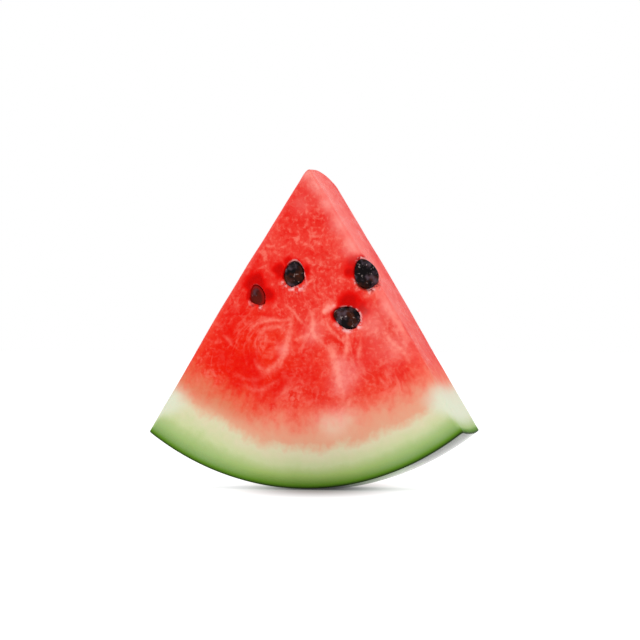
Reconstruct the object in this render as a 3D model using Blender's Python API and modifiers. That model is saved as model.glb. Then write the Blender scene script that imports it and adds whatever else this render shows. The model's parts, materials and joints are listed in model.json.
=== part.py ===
"""A wedge of seeded watermelon that stands on its rind, with its tip up.

Metres, +Z up. The origin is on the small flat spot that the slice stands on, straight below the
tip. The large front cut face looks along -Y, and the melon's heart is at the tip.
"""

import math
import random
from collections import namedtuple

import bmesh
import bpy
from mathutils import Matrix, Vector

# The whole melon, an ellipsoid whose middle lies a little to the left of the tip, level with it
MELON_RADIUS = 0.115
MELON_HALF_HEIGHT = 0.129
MELON_SHIFT = -0.0020
MELON_SEGMENTS = 120

# The slice
THICKNESS = 0.030
LEFT_ANGLE = math.radians(32.0)
RIGHT_ANGLE = math.radians(31.0)
FLAT_DEPTH = 0.0005
HEART_HEIGHT = MELON_HALF_HEIGHT - FLAT_DEPTH
EDGE_WIDTH = 0.0026
TIP_WEIGHT = 0.8
EDGE_SEGMENTS = 4

# The seeds, and the gap between a seed and its socket
SEED_LENGTH = 0.0108
SEED_WIDTH = 0.0084
SEED_DEPTH = 0.0030
SEED_TAPER = 0.20
SEED_SIDES = 14
SEED_RINGS = 8
SOCKET_GAP = 0.0003
SOCKET_MOUTH = 3.0

# Where a seed lies: distance from the tip, degrees from straight down, degrees that its point
# rolls towards -X, degrees that its broad side turns towards +X, degrees that its lower end leans
# into the flesh, how deep it sinks, and its size
Seat = namedtuple("Seat", "radius angle roll turn lean sink size")
FRONT_SEEDS = (
    Seat(0.0557, -22.5, 5, -6, 5, 0.0012, 0.80),
    Seat(0.0433, -7.2, -4, 4, 12, 0.0010, 1.0),
    Seat(0.0488, 29.4, 24, 26, 6, 0.0016, 1.10),
    Seat(0.0619, 15.0, 70, 4, 6, 0.0010, 1.0),
)

# Hidden seeds lie in a ring about the tip, at an even step of angle, with a small seeded stray
BACK_SEEDS = 4
BACK_FIRST_ANGLE = -20
BACK_STEP = 13
RING_RADII = (0.049, 0.063)
RADIUS_STRAY = 0.003
ROLL_STRAY = 40
SIZE_STRAY = 0.08
HIDDEN_SINK = 0.0010
LEFT_SEED_RADIUS = 0.068
LEFT_SEED_Y = 0.003
STRAY_SEED = 7

# The block that cuts the flat spot
FLOOR_BLOCK = 0.08


def srgb(red, green, blue):
    """A linear colour from the 0 to 255 values that a screen shows."""
    values = (c / 255 for c in (red, green, blue))
    linear = (c / 12.92 if c <= 0.04045 else ((c + 0.055) / 1.055) ** 2.4 for c in values)
    return (*linear, 1.0)


FLESH = srgb(232, 58, 48)
SKIN = srgb(62, 92, 42)
SEED = srgb(38, 28, 26)


def clear_scene():
    """Removes the objects that the file opens with."""
    for item in list(bpy.data.objects):
        bpy.data.objects.remove(item, do_unlink=True)


def make_material(name, colour, roughness):
    """A plain Principled material."""
    material = bpy.data.materials.new(name)
    material.use_nodes = True
    shader = material.node_tree.nodes["Principled BSDF"]
    shader.inputs["Base Color"].default_value = colour
    shader.inputs["Roughness"].default_value = roughness
    shader.inputs["Metallic"].default_value = 0.0
    material.diffuse_color = colour
    return material


def make_collection(name):
    """A collection under the scene's own."""
    collection = bpy.data.collections.new(name)
    bpy.context.scene.collection.children.link(collection)
    return collection


def place(name, mesh, collection, material, matrix=None):
    """Links a mesh as an object, with its material and its place."""
    item = bpy.data.objects.new(name, mesh)
    collection.objects.link(item)
    if not mesh.materials:
        mesh.materials.append(material)
    if matrix is not None:
        item.matrix_world = matrix
    return item


def as_cutter(item):
    """Marks an object as a tool that is not part of the slice."""
    item.hide_render = True
    item.display_type = "WIRE"
    return item


def cut_outline(collection):
    """The triangle between the two knife cuts, drawn past the skin, as a flat filled curve."""
    reach = 1.25 * MELON_HALF_HEIGHT
    sides = ((-1, LEFT_ANGLE), (1, RIGHT_ANGLE))
    corners = [(0.0, HEART_HEIGHT)]
    for side, angle in sides:
        corners.append((side * reach * math.tan(angle), HEART_HEIGHT - reach))
    curve = bpy.data.curves.new("cut_outline", "CURVE")
    curve.dimensions = "2D"
    curve.fill_mode = "BOTH"
    curve.extrude = THICKNESS / 2
    spline = curve.splines.new("POLY")
    spline.points.add(len(corners) - 1)
    for point, (x, z) in zip(spline.points, corners):
        point.co = (x, z, 0.0, 1.0)
    spline.use_cyclic_u = True
    item = bpy.data.objects.new("cut_outline", curve)
    item.matrix_world = Matrix.Rotation(math.radians(90), 4, "X")
    collection.objects.link(item)
    return item


def mesh_from_curve(item):
    """The curve's evaluated mesh in world space, with its caps welded. The curve is removed."""
    bpy.context.view_layer.update()
    graph = bpy.context.evaluated_depsgraph_get()
    mesh = bpy.data.meshes.new_from_object(item.evaluated_get(graph))
    mesh.transform(item.matrix_world)
    bpy.data.objects.remove(item, do_unlink=True)
    shape = bmesh.new()
    shape.from_mesh(mesh)
    bmesh.ops.remove_doubles(shape, verts=shape.verts, dist=0.00001)
    bmesh.ops.dissolve_limit(
        shape, angle_limit=math.radians(1), verts=shape.verts, edges=shape.edges
    )
    bmesh.ops.recalc_face_normals(shape, faces=shape.faces)
    shape.to_mesh(mesh)
    shape.free()
    return mesh


def weigh_edges(mesh):
    """Marks the edges that the knife left soft: the ridge at the tip and the four that run down from it."""
    weights = mesh.attributes.new("bevel_weight_edge", "FLOAT", "EDGE")
    for edge in mesh.edges:
        ends = [mesh.vertices[i].co for i in edge.vertices]
        at_tip = [abs(end.z - HEART_HEIGHT) < 0.001 for end in ends]
        if all(at_tip):
            weights.data[edge.index].value = TIP_WEIGHT
        elif any(at_tip):
            weights.data[edge.index].value = 1.0


def make_melon(collection, skin):
    """The whole melon as an ellipsoid with its poles along Y, the cutter that gives the slice its skin."""
    mesh = bpy.data.meshes.new("whole_melon")
    shape = bmesh.new()
    bmesh.ops.create_uvsphere(
        shape,
        u_segments=MELON_SEGMENTS,
        v_segments=MELON_SEGMENTS // 2,
        radius=1.0,
        matrix=Matrix.Rotation(math.radians(90), 4, "X"),
    )
    size = Vector((MELON_RADIUS, MELON_RADIUS, MELON_HALF_HEIGHT))
    bmesh.ops.scale(shape, vec=size, verts=shape.verts)
    shape.to_mesh(mesh)
    shape.free()
    place_at = Matrix.Translation((MELON_SHIFT, 0.0, HEART_HEIGHT))
    return as_cutter(place("whole_melon", mesh, collection, skin, place_at))


def make_floor_block(collection, skin):
    """The block under the floor that leaves the small flat spot."""
    mesh = bpy.data.meshes.new("floor_block")
    shape = bmesh.new()
    bmesh.ops.create_cube(shape, size=FLOOR_BLOCK)
    shape.to_mesh(mesh)
    shape.free()
    place_at = Matrix.Translation((0.0, 0.0, -FLOOR_BLOCK / 2))
    return as_cutter(place("floor_block", mesh, collection, skin, place_at))


def seed_mesh(name, size, gap=0.0, mouth=1.0):
    """A flat drop-shaped seed, pointed towards +Y, with its broad side towards +Z.

    gap is added all round and mouth stretches the outer half, both for a socket.
    """
    mesh = bpy.data.meshes.new(name)
    shape = bmesh.new()
    bmesh.ops.create_uvsphere(
        shape,
        u_segments=SEED_SIDES,
        v_segments=SEED_RINGS,
        radius=1.0,
        matrix=Matrix.Rotation(math.radians(-90), 4, "X"),
    )
    for vertex in shape.verts:
        x, y, z = vertex.co
        narrow = 1.0 - SEED_TAPER * y
        out = mouth if z > 0 else 1.0
        vertex.co.x = x * (size * SEED_WIDTH / 2 * narrow + gap)
        vertex.co.y = y * (size * SEED_LENGTH / 2 + gap)
        vertex.co.z = z * (size * SEED_DEPTH / 2 + gap) * out
    shape.to_mesh(mesh)
    shape.free()
    mesh.shade_smooth()
    return mesh


def seat_frame(seat, side=-1):
    """Where a seed lies in the front face, side -1, or the back face, side 1."""
    angle = math.radians(seat.angle)
    x = seat.radius * math.sin(angle)
    z = HEART_HEIGHT - seat.radius * math.cos(angle)
    spot = Matrix.Translation((x, side * THICKNESS / 2, z))
    facing = Matrix.Rotation(0.0 if side < 0 else math.pi, 4, "Z")
    turn = Matrix.Rotation(math.radians(seat.turn), 4, "Z")
    upright = Matrix.Rotation(math.radians(90), 4, "X")
    sink = Matrix.Translation((0.0, 0.0, -seat.sink))
    lean = Matrix.Rotation(math.radians(seat.lean), 4, "X")
    roll = Matrix.Rotation(math.radians(seat.roll), 4, "Z")
    return spot @ facing @ turn @ upright @ sink @ lean @ roll


def left_frame(radius, y, roll):
    """Where a seed lies in the left cut face, at a distance down it from the tip."""
    down = Vector((-math.sin(LEFT_ANGLE), 0.0, -math.cos(LEFT_ANGLE)))
    outward = Vector((-math.cos(LEFT_ANGLE), 0.0, math.sin(LEFT_ANGLE)))
    across = (-down).cross(outward)
    axes = Matrix((across, -down, outward)).transposed().to_4x4()
    spot = Vector((0.0, y, HEART_HEIGHT)) + radius * down - HIDDEN_SINK * outward
    return Matrix.Translation(spot) @ axes @ Matrix.Rotation(math.radians(roll), 4, "Z")


def seed_places():
    """Each seed's name, place and size: the front ones as seen, the hidden ones by rule."""
    places = []
    for number, seat in enumerate(FRONT_SEEDS, 1):
        places.append((f"seed_front_{number}", seat_frame(seat), seat.size))
    draw = random.Random(STRAY_SEED)
    for number in range(BACK_SEEDS):
        radius = RING_RADII[number % 2] + draw.uniform(-RADIUS_STRAY, RADIUS_STRAY)
        roll = draw.uniform(-ROLL_STRAY, ROLL_STRAY)
        size = 1.0 + draw.uniform(-SIZE_STRAY, SIZE_STRAY)
        seat = Seat(radius, BACK_FIRST_ANGLE + BACK_STEP * number, roll, 0, 0, HIDDEN_SINK, size)
        places.append((f"seed_back_{number + 1}", seat_frame(seat, side=1), size))
    roll = draw.uniform(-ROLL_STRAY, ROLL_STRAY)
    places.append(("seed_left_1", left_frame(LEFT_SEED_RADIUS, LEFT_SEED_Y, roll), 1.0))
    return places


def make_seeds(parts, cutters, places, seed):
    """One object for each seed, and the cutter of its socket."""
    for name, frame, size in places:
        place(name, seed_mesh(name, size), parts, seed, frame)
        socket = seed_mesh(f"socket_{name}", size, SOCKET_GAP, SOCKET_MOUTH)
        as_cutter(place(f"socket_{name}", socket, cutters, seed, frame))


def cut_with(item, name, operation, cutter=None, group=None):
    """Adds one exact Boolean, with an object or with all objects of a collection."""
    step = item.modifiers.new(name, "BOOLEAN")
    step.operation = operation
    step.solver = "EXACT"
    if group is None:
        step.object = cutter
    else:
        step.operand_type = "COLLECTION"
        step.collection = group


def make_slice(parts, tools, sockets, flesh, skin):
    """The slab between the knife cuts, its edges softened, inside the melon's skin, with its sockets."""
    mesh = mesh_from_curve(cut_outline(parts))
    mesh.materials.clear()
    mesh.materials.append(flesh)
    mesh.materials.append(skin)
    weigh_edges(mesh)
    item = place("melon_slice", mesh, parts, flesh)
    soften = item.modifiers.new("soft_edges", "BEVEL")
    soften.limit_method = "WEIGHT"
    soften.width = EDGE_WIDTH
    soften.segments = EDGE_SEGMENTS
    cut_with(item, "skin", "INTERSECT", cutter=make_melon(tools, skin))
    cut_with(item, "flat_spot", "DIFFERENCE", cutter=make_floor_block(tools, skin))
    cut_with(item, "seed_sockets", "DIFFERENCE", group=sockets)
    return item


def main():
    """Builds the slice and its seeds."""
    clear_scene()
    parts = make_collection("watermelon_slice")
    tools = make_collection("cutters")
    sockets = make_collection("socket_cutters")
    flesh = make_material("flesh", FLESH, 0.32)
    skin = make_material("skin", SKIN, 0.40)
    seed = make_material("seed", SEED, 0.28)
    make_seeds(parts, sockets, seed_places(), seed)
    make_slice(parts, tools, sockets, flesh, skin)


main()
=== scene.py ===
"""Dresses a wedge of watermelon: wet red flesh, pale rind, waxy striped skin and black seeds.

All sizes are in metres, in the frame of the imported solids: +Z up, with the large cut face towards -Y.
The melon's heart is at the tip of the slice, and every depth is counted from the skin inwards.
"""

import json
import logging
import math
from dataclasses import dataclass
from enum import Enum
from typing import Any

import bmesh
import bpy
import numpy as np
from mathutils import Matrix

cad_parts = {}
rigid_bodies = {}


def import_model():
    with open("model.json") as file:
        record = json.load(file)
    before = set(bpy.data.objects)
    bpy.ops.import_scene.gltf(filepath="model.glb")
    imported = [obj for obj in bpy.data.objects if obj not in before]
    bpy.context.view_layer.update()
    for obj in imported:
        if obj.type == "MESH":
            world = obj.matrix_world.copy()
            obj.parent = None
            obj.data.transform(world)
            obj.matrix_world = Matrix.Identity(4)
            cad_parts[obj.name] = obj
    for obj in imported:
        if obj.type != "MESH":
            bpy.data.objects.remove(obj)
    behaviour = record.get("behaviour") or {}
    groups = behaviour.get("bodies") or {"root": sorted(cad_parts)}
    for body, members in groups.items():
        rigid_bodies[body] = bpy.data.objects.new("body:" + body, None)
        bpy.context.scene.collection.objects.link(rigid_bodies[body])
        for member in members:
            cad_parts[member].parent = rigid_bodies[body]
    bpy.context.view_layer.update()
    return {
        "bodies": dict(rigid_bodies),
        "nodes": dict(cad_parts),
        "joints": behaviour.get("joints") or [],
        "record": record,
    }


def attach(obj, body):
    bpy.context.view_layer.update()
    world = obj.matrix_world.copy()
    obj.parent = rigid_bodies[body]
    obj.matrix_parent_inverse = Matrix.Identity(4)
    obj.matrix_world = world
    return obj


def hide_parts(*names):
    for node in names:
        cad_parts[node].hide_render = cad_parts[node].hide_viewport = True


log = logging.getLogger("watermelon")

Colour = tuple[float, float, float, float]
Point = tuple[float, float]
Range = tuple[float, float]

MM = 0.001
TABLE_SIZE = 4096
CELL_PRIMES = np.array((73856093, 19349663, 83492791))
MERGE_DISTANCE = 2e-6
SLIVER_LENGTH = 1e-7


def srgb(red: float, green: float, blue: float) -> Colour:
    """Turns the 0 to 255 values that a screen shows into a linear colour.

    Args:
        red, green, blue: The screen values.

    Returns:
        The linear colour, opaque.
    """
    linear = []
    for value in (red, green, blue):
        share = value / 255
        linear.append(share / 12.92 if share <= 0.04045 else ((share + 0.055) / 1.055) ** 2.4)
    return (linear[0], linear[1], linear[2], 1.0)


def ease(values: np.ndarray, start: float, end: float) -> np.ndarray:
    """Smooth step: 0 before start, 1 after end, and 3t squared less 2t cubed between them.

    Args:
        values: The array to judge.
        start: Where the step starts.
        end: Where it ends, below start for a falling step.

    Returns:
        An array of the same shape, from 0 to 1.
    """
    t = np.clip((values - start) / (end - start), 0.0, 1.0)
    return t * t * (3.0 - 2.0 * t)


def bell(values: np.ndarray, middle: float, width: float | np.ndarray) -> np.ndarray:
    """Bell curve: exp of less ((values - middle) / width) squared.

    Args:
        values: The array to judge.
        middle: Where the bell is 1.
        width: How far off it has fallen to 1 / e.

    Returns:
        An array of the same shape, from 0 to 1.
    """
    return np.exp(-(((values - middle) / width) ** 2))


def lattice_noise(points: np.ndarray, size: float, seed: int) -> np.ndarray:
    """Smooth value noise, -1 to 1.

    Each corner of a cubic lattice holds a random value from a seeded table. A point takes the mean of
    its cell's eight corners, weighed along each axis by the fifth-power ease 6t^5 - 15t^4 + 10t^3.

    Args:
        points: An array of n points, n by 3.
        size: The lattice's cell.
        seed: The table's seed.

    Returns:
        n values.
    """
    table = np.random.default_rng(seed).uniform(-1.0, 1.0, TABLE_SIZE)
    cells = points / size
    low = np.floor(cells).astype(np.int64)
    t = cells - low
    weight = t**3 * (t * (6.0 * t - 15.0) + 10.0)
    total = np.zeros(len(points))
    for corner in np.ndindex(2, 2, 2):
        index = np.bitwise_xor.reduce((low + np.array(corner)) * CELL_PRIMES, axis=1)
        share = np.prod(np.where(np.array(corner) == 1, weight, 1.0 - weight), axis=1)
        total += share * table[index % TABLE_SIZE]
    return total


@dataclass(frozen=True)
class Ripple:
    """A smooth noise over a mesh: the size of its features, how far it swings, and its table's seed."""

    size: float
    swing: float
    seed: int

    def at(self, points: np.ndarray) -> np.ndarray:
        """The noise at each point."""
        return self.swing * lattice_noise(points, self.size, self.seed)

    def vectors(self, points: np.ndarray) -> np.ndarray:
        """Three noises at each point, from tables whose seeds follow one another."""
        layers = [lattice_noise(points, self.size, self.seed + k) for k in range(3)]
        return self.swing * np.stack(layers, axis=1)


@dataclass(frozen=True)
class Ring:
    """A soft ring about a seed: where it lies and its width, in the seed's half sizes, and its strength."""

    place: float
    width: float
    strength: float

    def at(self, rho: np.ndarray) -> np.ndarray:
        """The ring's strength at each distance from the seed's middle, in half sizes."""
        return self.strength * bell(rho, self.place, self.width)


@dataclass(frozen=True)
class Speckle:
    """A noise in a finish: its features' size, its finer layers, and the noise values it fades between."""

    size: float
    detail: float
    fade: Range


class Socket:
    """A node's output that takes part in arithmetic: each operator adds its Math node."""

    def __init__(self, nodes: "Nodes", output: bpy.types.NodeSocket) -> None:
        """Wraps one output."""
        self.nodes = nodes
        self.output = output

    def maths(self, operation: str, *others: Any) -> "Socket":
        """Adds a Math node with this output first.

        Args:
            operation: The node's operation.
            others: The values or sockets that follow.

        Returns:
            The node's result.
        """
        inputs = dict(enumerate((self, *others)))
        return self.nodes.add("Math", {"operation": operation}, inputs)

    def __add__(self, other: Any) -> "Socket":
        """This plus other."""
        return self.maths("ADD", other)

    def __radd__(self, other: Any) -> "Socket":
        """other plus this."""
        return self.maths("ADD", other)

    def __sub__(self, other: Any) -> "Socket":
        """This less other."""
        return self.maths("SUBTRACT", other)

    def __rsub__(self, other: Any) -> "Socket":
        """other less this."""
        return self.nodes.add("Math", {"operation": "SUBTRACT"}, {0: other, 1: self})

    def __mul__(self, other: Any) -> "Socket":
        """This times other."""
        return self.maths("MULTIPLY", other)

    def __rmul__(self, other: Any) -> "Socket":
        """other times this."""
        return self.maths("MULTIPLY", other)

    def __truediv__(self, other: Any) -> "Socket":
        """This over other."""
        return self.maths("DIVIDE", other)

    def step(self, start: float, end: float) -> "Socket":
        """Smooth step from 0 at start to 1 at end.

        Args:
            start: Where the step starts.
            end: Where it ends, below start for a falling step.

        Returns:
            The step, 0 to 1.
        """
        low, high = min(start, end), max(start, end)
        way = (0.0, 1.0) if start < end else (1.0, 0.0)
        inputs = {"Value": self, "From Min": low, "From Max": high, "To Min": way[0], "To Max": way[1]}
        return self.nodes.add("MapRange", {"interpolation_type": "SMOOTHSTEP"}, inputs)

    def band(self, rise: Range, fall: Range) -> "Socket":
        """A step up times a step down: 1 between them and 0 outside."""
        return self.step(*rise) * self.step(*fall)


class Nodes:
    """The node tree of one material."""

    def __init__(self, name: str) -> None:
        """Makes a material with only its Principled shader and its output."""
        self.material = bpy.data.materials.new(name)
        self.material.use_nodes = True
        self.tree = self.material.node_tree
        self.shader = self.tree.nodes["Principled BSDF"]

    def feed(self, socket: bpy.types.NodeSocket, value: Any) -> None:
        """Links a Socket to an input, or sets its value."""
        if isinstance(value, Socket):
            self.tree.links.new(value.output, socket)
        else:
            socket.default_value = value

    def add(
        self,
        kind: str,
        settings: dict[str, Any] | None = None,
        inputs: dict[int | str, Any] | None = None,
        output: int | str = 0,
    ) -> Socket:
        """Adds any node.

        Args:
            kind: The node's type without its ShaderNode prefix.
            settings: Its properties, set first. stops is a ramp's list of position and colour.
            inputs: The values or links of its sockets, by name or number.
            output: The output that the result stands for.

        Returns:
            That output.
        """
        node = self.tree.nodes.new(f"ShaderNode{kind}")
        for key, value in (settings or {}).items():
            if key == "stops":
                self.set_stops(node.color_ramp, value)
            else:
                setattr(node, key, value)
        for key, value in (inputs or {}).items():
            self.feed(node.inputs[key], value)
        return Socket(self, node.outputs[output])

    @staticmethod
    def set_stops(ramp: bpy.types.ColorRamp, stops: list[tuple[float, Colour]]) -> None:
        """Sets a ramp's stops, in rising order."""
        while len(ramp.elements) < len(stops):
            ramp.elements.new(1.0)
        for element, (place, colour) in zip(ramp.elements, stops):
            element.position = place
            element.color = colour

    def mix(self, first: Any, second: Any, factor: Any) -> Socket:
        """Mixes two colours.

        Args:
            first, second: Colours or sockets.
            factor: The share of the second.

        Returns:
            The mixed colour.
        """
        return self.add("Mix", {"data_type": "RGBA"}, {0: factor, 6: first, 7: second}, 2)

    def paint(self, base: Any, *coats: tuple["Hue", Any]) -> Socket:
        """Lays coats of colour over a base, one after another.

        Args:
            base: A colour or socket.
            coats: The hue of each coat and how much it covers.

        Returns:
            The colour with all its coats.
        """
        for hue, cover in coats:
            base = self.mix(base, hue.value, cover)
        return base

    def noise(self, place: Socket, size: float, detail: float = 2.0, warp: float = 0.0) -> Socket:
        """Noise about 0.5, with features of a given size.

        Args:
            place: The coordinates.
            size: The size of a feature, in the coordinates' units.
            detail: The number of finer layers.
            warp: How much the noise bends itself.

        Returns:
            The noise, 0 to 1.
        """
        inputs = {"Vector": place, "Scale": 1.0 / size, "Detail": detail, "Distortion": warp}
        return self.add("TexNoise", inputs=inputs)

    def speckle(self, place: Socket, kind: Speckle) -> Socket:
        """A noise that fades from 0 to 1 between its two values."""
        return self.noise(place, kind.size, kind.detail).step(*kind.fade)

    def attribute(self, name: str) -> Socket:
        """A value that the mesh holds for each vertex."""
        return self.add("Attribute", {"attribute_name": name}, output="Fac")

    def place(self) -> Socket:
        """The coordinates of the object."""
        return self.add("TexCoord", output="Object")

    def vector(self, operation: str, first: Any, second: Any) -> Socket:
        """One Vector Math node, with its vector result."""
        return self.add("VectorMath", {"operation": operation}, {0: first, 1: second})

    def length(self, vector: Socket) -> Socket:
        """The length of a vector."""
        return self.add("VectorMath", {"operation": "LENGTH"}, {0: vector}, "Value")

    def part(self, vector: Socket, axis: str) -> Socket:
        """One coordinate of a vector."""
        return self.add("SeparateXYZ", inputs={0: vector}, output=axis)

    def finish(self, **values: Any) -> bpy.types.Material:
        """Feeds the Principled shader and returns the material.

        Args:
            values: Values or sockets by input name, with _ for a space.

        Returns:
            The material.
        """
        for key, value in values.items():
            self.feed(self.shader.inputs[key.replace("_", " ")], value)
        return self.material


@dataclass(frozen=True)
class MelonForm:
    """The whole melon, an ellipsoid level with the tip, and the knife cuts that meet at the tip."""

    radius: float = 0.115
    half_height: float = 0.129
    shift: float = -0.0020
    flat_depth: float = 0.0005
    thickness: float = 0.030
    left_angle: float = math.radians(32.0)
    right_angle: float = math.radians(31.0)

    @property
    def heart(self) -> float:
        """The height of the tip and of the melon's middle over the floor."""
        return self.half_height - self.flat_depth

    @property
    def below_tip(self) -> float:
        """The melon's own angle at which the skin lies straight below the tip."""
        return math.asin(-self.shift / self.radius)

    def cut_end(self, side: int) -> float:
        """The melon's own angle where a knife cut meets the skin.

        The cut runs side times tan(angle) across for each unit down. Put into the ellipse, that gives
        a quadratic in the way down, whose positive root is taken.

        Args:
            side: -1 for the left cut and 1 for the right one.

        Returns:
            The angle from straight down, signed.
        """
        slope = side * math.tan(self.left_angle if side < 0 else self.right_angle)
        square = (slope / self.radius) ** 2 + 1.0 / self.half_height**2
        half_linear = slope * self.shift / self.radius**2
        rest = 1.0 - (self.shift / self.radius) ** 2
        down = (half_linear + math.sqrt(half_linear**2 + square * rest)) / square
        return math.atan2((slope * down - self.shift) / self.radius, down / self.half_height)

    def depth(self, points: np.ndarray) -> np.ndarray:
        """The depth of each point: 1 less its distance from the middle in half axes, as a length."""
        half = np.array((self.radius, self.radius, self.half_height))
        share = np.linalg.norm((points - (self.shift, 0.0, self.heart)) / half, axis=1)
        return (1.0 - share) * self.half_height


MELON = MelonForm()


@dataclass(frozen=True)
class Vein:
    """A pale strand of fibre: points across and up a face and its width, in millimetres, and its strength."""

    points: tuple[Point, ...]
    width: float
    strength: float


@dataclass(frozen=True)
class Spot:
    """A round soft patch of a face: its middle and its radius, in millimetres, and its strength."""

    middle: Point
    radius: float
    strength: float


@dataclass(frozen=True)
class Whorl:
    """A place where the fibres turn: its middle and radius, in millimetres, and its turn in radians."""

    middle: Point
    radius: float
    turn: float


# Pale strands of the front face, placed one by one
FRONT_VEINS = (
    Vein(((-23.8, 60.8), (-22.9, 64.0), (-19.6, 66.4), (-15.0, 67.6), (-10.0, 67.6), (-5.4, 68.8)), 0.7, 0.5),
    Vein(((-10.0, 74.8), (-6.7, 72.0), (-3.8, 68.0), (-2.1, 66.0)), 0.6, 0.5),
    Vein(((-20.5, 57.0), (-19.5, 61.5), (-15.8, 64.4), (-11.9, 64.9), (-8.5, 62.3), (-8.2, 58.2)), 0.7, 0.45),
    Vein(((-8.2, 58.2), (-9.6, 53.4), (-12.4, 49.6), (-16.2, 47.6), (-20.0, 48.6), (-22.4, 52.0)), 0.9, 0.5),
    Vein(((-13.5, 61.5), (-11.8, 58.0), (-13.8, 55.0), (-17.0, 54.8), (-18.6, 57.4)), 0.6, 0.32),
    Vein(((0.8, 71.2), (1.7, 67.2), (1.7, 63.6), (3.8, 60.8), (7.1, 58.0)), 1.0, 0.7),
    Vein(((7.1, 58.0), (10.0, 54.4), (11.7, 49.6), (12.5, 45.2), (13.8, 40.0), (15.0, 34.0)), 1.3, 0.75),
    Vein(((1.7, 63.2), (-2.1, 61.2), (-5.0, 58.8)), 0.9, 0.5),
    Vein(((-31.3, 47.2), (-27.9, 44.8), (-23.8, 43.6), (-19.2, 44.8), (-15.0, 47.2)), 0.7, 0.28),
    Vein(((-27.5, 41.8), (-21.5, 39.8), (-15.5, 41.2), (-10.5, 44.6)), 0.7, 0.35),
    Vein(((-4.2, 44.0), (-7.5, 40.8), (-11.7, 37.2), (-15.4, 34.0)), 0.8, 0.4),
    Vein(((15.4, 64.4), (16.7, 59.6), (15.8, 55.2), (14.2, 49.6)), 0.7, 0.65),
    Vein(((21.7, 59.6), (20.8, 55.2), (19.6, 51.6)), 0.7, 0.5),
    Vein(((6.7, 69.2), (8.3, 64.8), (11.3, 61.6), (13.8, 59.2)), 0.6, 0.5),
    Vein(((28.4, 66.0), (28.4, 60.4)), 0.6, 0.5),
    Vein(((32.5, 74.0), (36.3, 68.8), (39.6, 64.0), (41.7, 61.2), (44.2, 57.2)), 1.2, 0.75),
    Vein(((30.0, 66.8), (32.9, 61.6), (36.3, 57.2), (40.0, 54.0), (42.1, 50.0)), 0.9, 0.6),
    Vein(((47.5, 50.8), (50.0, 46.4), (53.8, 43.2)), 0.9, 0.6),
    Vein(((28.4, 45.6), (30.9, 42.8), (33.4, 40.8)), 0.7, 0.4),
    Vein(((22.1, 49.6), (23.8, 45.2)), 0.7, 0.4),
    Vein(((-35.9, 61.6), (-32.9, 59.2), (-30.9, 56.0)), 0.6, 0.4),
    Vein(((6.3, 69.6), (8.0, 71.8), (11.6, 73.4)), 0.9, 1.0),
    Vein(((-7.2, 68.0), (-7.4, 63.5), (-7.7, 59.2), (-9.4, 53.0), (-11.9, 48.2)), 0.85, 0.6),
)
# Pale patches of the front face, and painted highlights along the crease with the right cut and at the tip
FRONT_PALE_AND_HIGHLIGHTS = (
    Spot((30.0, 55.6), 7.0, 0.18),
    Spot((33.5, 73.4), 4.0, 0.7),
    Spot((7.9, 26.8), 5.0, 0.5),
    Spot((17.1, 28.8), 5.0, 0.4),
    Spot((14.2, 42.0), 4.5, 0.6),
    Spot((13.2, 50.0), 3.0, 0.4),
    Spot((2.0, 62.5), 4.0, 0.45),
    Spot((-9.5, 55.5), 2.4, 0.5),
    # Painted highlights along the crease with the right cut, and at the tip
    Spot((4.6, 120.4), 3.4, 0.9),
    Spot((8.3, 113.6), 3.4, 1.0),
    Spot((13.5, 106.4), 4.2, 1.0),
    Spot((18.5, 97.6), 4.4, 0.9),
    Spot((0.0, 127.0), 5.0, 1.1),
    # More pale patches of the front face
    Spot((26.7, 65.9), 5.0, 0.5),
    Spot((36.6, 56.4), 5.0, 0.4),
    Spot((16.9, 46.9), 5.0, 0.4),
    Spot((-2.9, 113.5), 4.0, 0.3),
    Spot((8.9, 72.4), 1.0, 1.0),
    Spot((10.6, 73.4), 0.8, 1.0),
    Spot((7.4, 71.0), 0.8, 0.9),
    Spot((12.2, 26.0), 5.0, 0.8),
)
# A deep red patch of the flesh on the right cut, towards the back, kept in the deep values with the painted
# shade about the seeds
SIDE_DEEP = (Spot((21.0, 93.5), 4.5, 0.45),)
# Soaked, brighter red patches of the front face
FRONT_VIVID = (
    Spot((-22.9, 51.1), 4.0, 0.4),
    Spot((-25.0, 50.0), 6.0, 1.0),
    Spot((-21.0, 44.5), 4.0, 0.7),
    Spot((-32.9, 62.0), 5.0, 0.8),
    Spot((-35.5, 52.5), 5.0, 0.8),
    Spot((-30.3, 41.0), 5.0, 0.8),
    Spot((-21.0, 36.5), 5.0, 0.6),
    Spot((-8.8, 45.2), 4.5, 0.8),
    Spot((-12.8, 39.2), 4.0, 0.8),
    Spot((-2.0, 55.0), 3.5, 0.5),
    Spot((24.4, 52.4), 5.0, 0.6),
    Spot((36.4, 47.6), 5.0, 0.5),
    Spot((1.3, 46.0), 5.0, 0.7),
    Spot((3.0, 37.0), 4.0, 0.5),
    Spot((-14.2, 76.4), 4.5, 0.7),
    Spot((-20.7, 84.7), 4.0, 0.5),
    Spot((-30.0, 71.0), 5.0, 0.7),
    Spot((8.0, 84.0), 3.5, 0.4),
    Spot((-8.1, 106.2), 5.0, 0.3),
    Spot((28.5, 93.5), 3.0, 0.8),
)
# Places where the fibres of the front face turn
FRONT_WHORLS = (
    Whorl((-15.4, 60.5), 10.0, 2.0),
    Whorl((-33.0, 45.0), 12.0, -0.6),
    Whorl((2.0, 66.0), 7.0, 0.9),
    Whorl((26.0, 48.0), 10.0, -0.9),
)


@dataclass(frozen=True)
class Bed:
    """How the flesh lies about one seed.

    shade_spots are painted shade: deep red patches in the flesh about the seed, placed from the seed's
    middle. cover is how far under the surface, in millimetres, a part of the seed must lie to stay
    hidden, and film how far flesh veils the rest.
    """

    shade_spots: tuple[Spot, ...] = (Spot((0.0, 3.6), 4.6, 0.9),)
    cover: float = 1.6
    film: float = 0.0


# Painted shade spots about each seed of the front face, with its cover and film
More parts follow.
